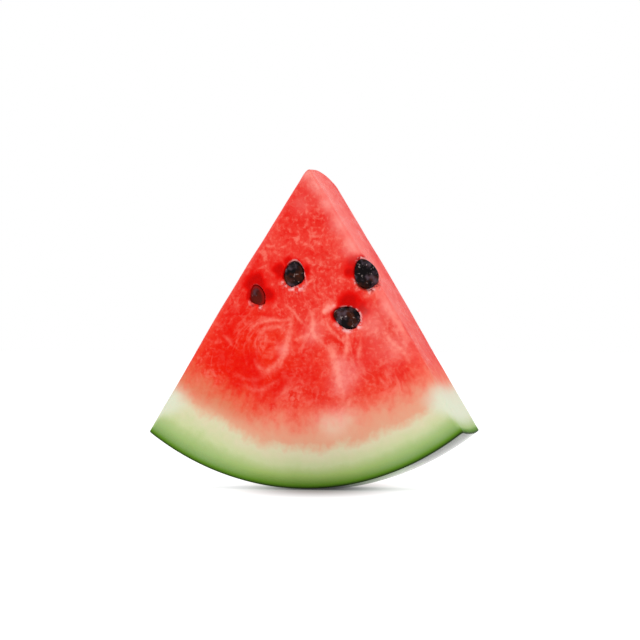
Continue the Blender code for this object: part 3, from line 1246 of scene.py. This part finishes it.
@dataclass(frozen=True)
class MelonFinish:
    """Skin, rind and flesh in one finish that follows the depth under the skin.

    A Range is where a smooth step starts and ends, along the depth, the height or a way across. The
    stretch values shrink the flow coordinates along the fibres, which draws the noise out.
    """

    ramp_depth: float = 0.038
    flesh_from: Range = (0.0200, 0.0375)
    left_extra: float = 0.0035
    left_part: Range = (-0.012, -0.046)
    rind_wander: float = 0.014
    green_band: tuple[Range, Range] = ((0.0014, 0.0034), (0.016, 0.008))
    green_thinned: float = 0.0030
    inner_rind: Range = (0.002, 0.018)
    off_middle: Range = (0.015, 0.042)
    bloom_band: tuple[Range, Range] = ((0.0010, 0.0030), (0.011, 0.005))
    tan_depth: Range = (0.0185, 0.0270)
    tan_part: Range = (-0.010, -0.034)
    soaked_depth: Range = (0.014, 0.020)
    white_start: Range = (0.0055, 0.0125)
    white_end: Range = (0.026, 0.017)
    white_on_cuts: float = 0.003
    white_off_verge: float = 0.009
    finger_size: float = 0.0050
    finger_stretch: float = 0.35
    tuft_size: float = 0.0020
    tuft_stretch: float = 0.6
    wander_size: float = 0.012
    crumb_size: float = 0.0024
    fibre_stretch: float = 0.26
    fibre_size: float = 0.0046
    fibre_width: float = 0.07
    fibre_start: Range = (0.036, 0.062)
    fibre_cloud: Speckle = Speckle(0.0060, 2.0, (0.50, 0.72))
    fibre_groups: Speckle = Speckle(0.014, 1.0, (0.36, 0.56))
    fibre_breaks: Speckle = Speckle(0.0022, 2.0, (0.40, 0.62))
    blotches: Speckle = Speckle(0.010, 2.0, (0.36, 0.68))
    broad_blotches: Speckle = Speckle(0.022, 1.0, (0.35, 0.65))
    clot_size: float = 0.0032
    clot_warp: float = 0.6
    grain_size: float = 0.0013
    patch_size: float = 0.0017
    scraps: Speckle = Speckle(0.0018, 1.0, (0.48, 0.64))
    torn: Speckle = Speckle(0.0008, 2.0, (0.28, 0.50))
    warm_middle: tuple[float, float, float] = (-0.026, -0.015, 0.048)
    warm_reach: Range = (0.036, 0.006)
    warm_height: Range = (0.078, 0.036)
    # Where the painted sheen of the right cut and the painted highlight along the crease grow up the slice
    sheen_height: Range = (0.050, 0.095)
    crease_highlight_height: Range = (0.030, 0.100)
    crease_highlight_across: Range = (-0.002, 0.006)
    # Where the painted rim light of the left edge lies across
    left_rim_light: Range = (0.004, -0.004)
    back_part: Range = (-0.004, 0.010)
    stripe_turns: float = 140.0
    stripe_start: float = 0.57
    stripe_wander: float = 2.4
    stripe_edge: Range = (0.35, 0.70)
    stripe_ragged: float = 0.012
    stripe_fleck: float = 0.0035
    coat_weight: float = 0.95
    pore_size: float = 0.0011
    fine_pore_size: float = 0.0004
    pore_depth: float = 0.0005
    wet: Speckle = Speckle(0.004, 2.0, (0.45, 0.70))

    # Depth under the skin in millimetres, and the colour there
    RIND = (
        (0.0, Hue.RIND_EDGE),
        (1.2, Hue.RIND_GREEN),
        (5.0, Hue.RIND_LIME),
        (9.0, Hue.RIND_PALE),
        (13.5, Hue.RIND_CREAM),
        (17.5, Hue.RIND_BLUSH),
        (36.0, Hue.RIND_PINK),
    )

    def material(self) -> bpy.types.Material:
        """Builds the finish.

        Returns:
            The material.
        """
        nodes = Nodes("melon_flesh_rind_and_skin")
        place = nodes.place()
        flow = nodes.add("Attribute", {"attribute_name": "flow"}, output="Vector")
        depth = self.depth(nodes, place)
        across = nodes.part(place, "X")
        thicker = across.step(*self.left_part) * self.left_extra
        fingers = nodes.noise(self.drawn(nodes, flow, self.finger_stretch), self.finger_size, 3.0) - 0.5
        tufts = nodes.noise(self.drawn(nodes, flow, self.tuft_stretch), self.tuft_size) - 0.5
        wander = nodes.noise(place, self.wander_size) - 0.5
        crumbs = nodes.noise(place, self.crumb_size) - 0.5
        uneven = wander * 0.008 + fingers * 0.010 + tufts * 0.006 + crumbs * 0.008
        in_flesh = (depth - thicker * 0.3 + uneven).step(*self.flesh_from)
        rind = self.rind(nodes, place, across, depth, thicker - uneven * 0.45)
        inside = nodes.mix(rind, self.flesh(nodes, place, flow, across), in_flesh)
        wax = nodes.attribute("wax")
        fine = nodes.noise(place, self.fine_pore_size, 1.0)
        pores = nodes.noise(place, self.pore_size) * in_flesh + 0.2 * fine
        height = pores * (1.0 - nodes.attribute("side"))
        relief = {"Strength": 0.45, "Distance": self.pore_depth, "Height": height}
        return nodes.finish(
            Base_Color=nodes.mix(inside, self.skin(nodes, place), wax),
            Roughness=0.50 - 0.14 * nodes.speckle(place, self.wet) - 0.12 * in_flesh,
            Normal=nodes.add("Bump", inputs=relief),
            Specular_IOR_Level=0.03,
            Coat_Weight=wax * self.coat_weight,
            Coat_Roughness=0.14,
            Coat_IOR=1.4,
            Subsurface_Weight=0.06,
            Subsurface_Radius=(1.0, 0.3, 0.2),
            Subsurface_Scale=0.002,
        )

    @staticmethod
    def drawn(nodes: Nodes, flow: Socket, stretch: float) -> Socket:
        """The flow coordinates with their way along the fibres shrunk."""
        return nodes.vector("MULTIPLY", flow, (1.0, 1.0, stretch))

    @staticmethod
    def depth(nodes: Nodes, place: Socket) -> Socket:
        """The depth under the skin.

        It is the half height times 1 less the distance from the melon's middle in half axes.

        Args:
            nodes: The tree.
            place: The coordinates.

        Returns:
            The depth in metres.
        """
        half = (1 / MELON.radius, 1 / MELON.radius, 1 / MELON.half_height)
        from_middle = nodes.vector("SUBTRACT", place, (MELON.shift, 0.0, MELON.heart))
        share = nodes.vector("MULTIPLY", from_middle, half)
        return (1.0 - nodes.length(share)) * MELON.half_height

    def rind(self, nodes: Nodes, place: Socket, across: Socket, depth: Socket, thicker: Socket) -> Socket:
        """The rind from green under the skin through cream to pink.

        On the narrow cuts the green is a thinner band and the cream is whiter. Away from the middle
        the green is greyer, and the pink at the left is tanned.

        Args:
            nodes: The tree.
            place: The coordinates.
            across: The way across the slice.
            depth: The depth under the skin.
            thicker: How much thicker the rind is here.

        Returns:
            The colour.
        """
        side = nodes.attribute("side")
        verge = nodes.attribute("verge")
        uneven = nodes.noise(place, self.rind_wander) - 0.5
        thin_green = depth.band(*self.green_band) * self.green_thinned * side
        seen = depth * (1.0 + 0.30 * uneven) - thicker * depth.step(*self.inner_rind) + thin_green
        stops = [(mm * MM / self.ramp_depth, hue.value) for mm, hue in self.RIND]
        ramp = nodes.add("ValToRGB", {"stops": stops}, {"Fac": seen / self.ramp_depth}, "Color")
        off_middle = across.maths("ABSOLUTE").step(*self.off_middle)
        green = depth.band(*self.bloom_band)
        tan = depth.step(*self.tan_depth) * across.step(*self.tan_part)
        soaked = nodes.attribute("pale") * depth.step(*self.soaked_depth)
        start = depth + side * self.white_on_cuts - (1.0 - verge) * self.white_off_verge
        white = start.step(*self.white_start) * depth.step(*self.white_end)
        return nodes.paint(
            ramp,
            (Hue.BLOOM, green * off_middle * (0.25 + 0.3 * uneven)),
            (Hue.TAN, tan * 0.48),
            (Hue.CREAM, soaked * 0.7),
            (Hue.PITH, white * verge * 0.85),
        )

    def flesh(self, nodes: Nodes, place: Socket, flow: Socket, across: Socket) -> Socket:
        """The red flesh.

        Slow blotches and a warmer tone to the lower left lie under grains of two sizes. Fibres follow
        the flow. The marks of the front face come next, with a painted rim light on the left edge, a
        painted highlight along the crease and a painted sheen on the right cut, then the painted shade
        about the seeds and the pale patches, some of them painted highlights, and the rims about the
        seeds last.

        Args:
            nodes: The tree.
            place: The coordinates.
            flow: The coordinates along the fibres.
            across: The way across the slice.

        Returns:
            The colour.
        """
        slow = nodes.speckle(place, self.blotches)
        warm = self.warmth(nodes, place)
        cool = 1.0 - warm * 0.5
        clots = nodes.noise(place, self.clot_size, warp=self.clot_warp)
        grains = nodes.noise(place, self.grain_size)
        patch = nodes.noise(place, self.patch_size, 3.0)
        vivid = nodes.attribute("vivid").maths("MINIMUM", 1.0)
        vein = nodes.attribute("vein") * (0.15 + 1.7 * patch)
        verge = nodes.attribute("verge")
        side = nodes.attribute("side")
        front = 1.0 - side
        height = nodes.part(place, "Z")
        # Painted rim light: orange along the rounded left edge of the front face
        edge = verge.step(0.70, 1.0) * across.step(*self.left_rim_light) * front
        # Painted highlight along the rounded crease between the front face and the right cut, stronger higher
        # up
        near_crease = verge.step(0.35, 1.0) * across.step(*self.crease_highlight_across)
        crease_highlight = near_crease * height.step(*self.crease_highlight_height) * (0.10 + 0.9 * clots)
        behind = nodes.part(place, "Y").step(*self.back_part)
        deep = nodes.attribute("deep")
        base = nodes.paint(
            Hue.FLESH.value,
            (Hue.FLESH_LIGHT, slow * 0.75 + 0.06),
            (Hue.WARM, warm * 0.9),
            (Hue.VIVID, nodes.speckle(place, self.broad_blotches) * 0.35),
            (Hue.VIVID, clots.step(0.48, 0.28) * 0.60),
            (Hue.VEIN, clots.step(0.52, 0.76) * cool * 0.48),
            (Hue.VIVID, grains.step(0.50, 0.28) * 0.42),
            (Hue.VEIN, grains.step(0.52, 0.78) * cool * 0.38),
            (Hue.VEIN, self.fibres(nodes, flow) * 0.5),
            (Hue.VIVID, vivid * (0.45 + 0.8 * patch)),
            (Hue.VEIN, vein.step(0.04, 1.0)),
            # Painted rim light on the left edge
            (Hue.RIM_LIGHT_ORANGE, edge * 0.75),
            # Painted highlight along the crease
            (Hue.PALE_AND_HIGHLIGHT, crease_highlight * (0.55 + 0.45 * front)),
            # Painted sheen: the right cut paler and pinker, more so up high
            (Hue.SIDE_SHEEN, side * (0.12 + 0.33 * height.step(*self.sheen_height))),
            (Hue.VIVID, side * behind * (0.25 + 0.35 * slow)),
            # Painted shade about the seeds, from the deep values, which also hold one red patch on the right
            # cut
            (Hue.VIVID, deep.step(0.0, 0.70)),
            (Hue.PIT_SHADE, deep.step(0.45, 1.0) * (0.5 + 0.7 * patch)),
            # Pale patches, some of them painted highlights along the crease and at the tip
            (Hue.PALE_AND_HIGHLIGHT, nodes.attribute("pale") * (0.35 + 0.8 * patch)),
        )
        # The rims about the seeds: pale membrane with a painted highlight above, and torn scraps below
        scraps = nodes.mix(Hue.RIM_AND_HIGHLIGHT.value, Hue.SCRAP.value, nodes.speckle(place, self.scraps))
        return nodes.mix(base, scraps, nodes.attribute("rim") * nodes.speckle(place, self.torn))

    def warmth(self, nodes: Nodes, place: Socket) -> Socket:
        """How far the flesh turns to orange red: some low down, and most at the lower left of the front."""
        away = nodes.length(nodes.vector("SUBTRACT", place, self.warm_middle))
        low = nodes.part(place, "Z").step(*self.warm_height) * 0.5
        return away.step(*self.warm_reach).maths("MAXIMUM", low)

    def fibres(self, nodes: Nodes, flow: Socket) -> Socket:
        """Fine pale fibres: the lines where a noise drawn out along the flow crosses its middle value."""
        drawn = self.drawn(nodes, flow, self.fibre_stretch)
        crossing = (nodes.noise(drawn, self.fibre_size, 1.5) - 0.5).maths("ABSOLUTE")
        strength = crossing.step(self.fibre_width, 0.0) * 0.5 + nodes.speckle(drawn, self.fibre_cloud) * 0.9
        where = nodes.speckle(flow, self.fibre_groups) * nodes.part(flow, "Z").step(*self.fibre_start)
        return strength * where * nodes.speckle(flow, self.fibre_breaks)

    def skin(self, nodes: Nodes, place: Socket) -> Socket:
        """The waxy skin: ragged dark stripes 45 mm apart, through the slice, over a lighter green."""
        ragged = (nodes.noise(place, self.stripe_ragged, 4.0) - 0.5) * self.stripe_wander
        turn = nodes.part(place, "X") * self.stripe_turns + self.stripe_start + ragged
        fine = (nodes.noise(place, self.stripe_fleck, 4.0) - 0.5) * 0.9
        dark = (turn.maths("SINE") * 0.5 + 0.5 + fine).step(*self.stripe_edge)
        return nodes.mix(Hue.SKIN_LIGHT.value, Hue.SKIN_DARK.value, dark)


@dataclass(frozen=True)
class SeedFinish:
    """The hard wet coat of a seed: near black, with brown where it is worn, painted sheen and glints, or
    veiled by flesh.
    """

    name: str
    veil: float
    worn: Speckle = Speckle(0.0042, 2.0, (0.46, 0.68))
    # Painted sheen patches and glints that stand in for reflections on the wet coat
    sheen_patches: Speckle = Speckle(0.0034, 2.5, (0.48, 0.72))
    sheen_offset: tuple[float, float, float] = (0.05, 0.0, 0.02)
    glints: Speckle = Speckle(0.0015, 2.0, (0.62, 0.74))
    veil_holes: Speckle = Speckle(0.0022, 2.0, (0.30, 0.60))
    pit_size: float = 0.0008
    pit_depth: float = 0.0002
    stained_edge: Range = (0.55, 1.0)

    def material(self) -> bpy.types.Material:
        """Builds the finish.

        Returns:
            The material.
        """
        nodes = Nodes(self.name)
        place = nodes.place()
        sheen = nodes.speckle(nodes.vector("ADD", place, self.sheen_offset), self.sheen_patches)
        pits = nodes.noise(place, self.pit_size)
        colour = nodes.paint(
            Hue.SEED.value,
            (Hue.SEED_BROWN, nodes.speckle(place, self.worn) * 0.65),
            # Painted sheen: purple grey patches for the reflections
            (Hue.SEED_SHEEN, sheen * 0.7),
            # Painted glints, stronger on the sheen
            (Hue.SEED_GLINT, nodes.speckle(place, self.glints) * (0.35 + 0.65 * sheen)),
            (Hue.SEED_VEILED, self.veil * (0.45 + 0.55 * nodes.speckle(place, self.veil_holes))),
            (Hue.SEED_STAINED, nodes.attribute("edge").step(*self.stained_edge) * self.veil),
        )
        relief = {"Strength": 0.4, "Distance": self.pit_depth, "Height": pits}
        return nodes.finish(
            Base_Color=colour,
            Roughness=0.16 + 0.22 * pits + 0.25 * self.veil,
            Normal=nodes.add("Bump", inputs=relief),
            Specular_IOR_Level=0.05,
        )


@dataclass(frozen=True)
class Studio:
    """A white floor that glows a little but for a soft patch under the slice, a painted contact shadow, soft
    light and the camera.
    """

    azimuth: float = math.radians(15.23)
    distance: float = 1.504
    height: float = 0.0675
    across: float = 0.0010
    lens: float = 211.0
    floor_size: float = 12.0
    floor_grey: float = 0.3
    glow: float = 0.90
    # Painted contact shadow: how dim the floor's glow is under the slice, and the ellipse it fades out over
    painted_shadow_glow: float = 0.08
    painted_shadow_reach: tuple[float, float] = (0.042, 0.110)
    painted_shadow_start: float = 0.10
    lamp_place: tuple[float, float, float] = (0.55, -0.95, 1.05)
    lamp_size: float = 0.14
    lamp_power: float = 1.2

    def build(self) -> None:
        """Adds the floor, the light, the sky and the camera."""
        self.floor()
        self.sky()
        self.lamp()
        self.camera()
        bpy.context.scene.view_settings.view_transform = "Standard"

    def floor(self) -> None:
        """The white floor, which is not part of the object.

        Its glow rises smoothly from a small share under the slice to its full strength outside an
        ellipse, which is turned to run straight away from the camera. The dim patch is a painted
        contact shadow.
        """
        mesh = bpy.data.meshes.new("floor")
        half = self.floor_size / 2
        corners = [(-half, -half, 0.0), (half, -half, 0.0), (half, half, 0.0), (-half, half, 0.0)]
        mesh.from_pydata(corners, [], [(0, 1, 2, 3)])
        floor = bpy.data.objects.new("floor", mesh)
        bpy.context.scene.collection.objects.link(floor)
        nodes = Nodes("white_floor")
        place = nodes.place()
        turned = {"Vector": place, "Angle": -self.azimuth}
        ahead = nodes.add("VectorRotate", {"rotation_type": "Z_AXIS"}, turned, "Vector")
        share = nodes.vector("MULTIPLY", ahead, (1 / self.painted_shadow_reach[0], 1 / self.painted_shadow_reach[1], 0.0))
        low = (*[self.painted_shadow_glow] * 3, 1.0)
        # Painted contact shadow: the glow dimmed in an ellipse under the slice
        glow = nodes.mix(low, (1.0, 1.0, 1.0, 1.0), nodes.length(share).step(self.painted_shadow_start, 1.0))
        mesh.materials.append(
            nodes.finish(
                Base_Color=(*[self.floor_grey] * 3, 1.0),
                Roughness=0.9,
                Specular_IOR_Level=0.0,
                Emission_Color=glow,
                Emission_Strength=self.glow,
            )
        )

    @staticmethod
    def sky() -> None:
        """Even white light from all sides."""
        world = bpy.data.worlds.new("white_room")
        world.use_nodes = True
        background = world.node_tree.nodes["Background"]
        background.inputs["Color"].default_value = (1.0, 1.0, 1.0, 1.0)
        background.inputs["Strength"].default_value = 1.0
        bpy.context.scene.world = world

    def lamp(self) -> None:
        """Adds a small square lamp that looks at the slice and that the camera doesn't see.

        A lamp shines along its own -Z, so it is turned up from straight down by 90 degrees and its
        climb to the slice's middle, and then about the upright towards it.
        """
        light = bpy.data.lights.new("key", "AREA")
        light.size = self.lamp_size
        light.energy = self.lamp_power
        item = bpy.data.objects.new("key", light)
        item.location = self.lamp_place
        item.visible_camera = False
        across, ahead, up = np.array((0.0, 0.0, self.height)) - np.array(self.lamp_place)
        climb = math.atan2(up, math.hypot(across, ahead))
        item.rotation_euler = (math.pi / 2 + climb, 0.0, math.atan2(-across, ahead))
        bpy.context.scene.collection.objects.link(item)

    def camera(self) -> None:
        """The camera, level, a little to the right of the front face."""
        data = bpy.data.cameras.new("camera")
        data.lens = self.lens
        item = bpy.data.objects.new("camera", data)
        right = (math.cos(self.azimuth), math.sin(self.azimuth))
        back = (math.sin(self.azimuth), -math.cos(self.azimuth))
        x = right[0] * self.across + back[0] * self.distance
        y = right[1] * self.across + back[1] * self.distance
        item.location = (x, y, self.height)
        item.rotation_euler = (math.pi / 2, 0.0, self.azimuth)
        bpy.context.scene.collection.objects.link(item)
        bpy.context.scene.camera = item


def dress(piece: bpy.types.Object, material: bpy.types.Material, node: str) -> None:
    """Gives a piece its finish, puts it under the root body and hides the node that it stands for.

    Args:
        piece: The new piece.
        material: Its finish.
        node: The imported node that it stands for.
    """
    piece.data.materials.append(material)
    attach(piece, "root")
    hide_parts(node)
    log.info("%s stands for %s", piece.name, node)


def main() -> None:
    """Builds the slice, its seeds and the studio."""
    logging.basicConfig(level=logging.INFO)
    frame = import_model()
    seed_nodes = sorted(node for node in frame["nodes"] if node.startswith("seed_"))
    poses = [SeedPose.of_node(node) for node in seed_nodes]
    dress(SliceBody().build(poses), MelonFinish().material(), "melon_slice")
    bare = SeedFinish("bare_seed_coat", 0.0).material()
    for pose in poses:
        veil = pose.bed.film
        coat = SeedFinish("veiled_seed_coat", veil).material() if veil else bare
        dress(SeedForm().build(pose, f"{pose.node}_coat"), coat, pose.node)
    Studio().build()


if __name__ == "__main__":
    main()
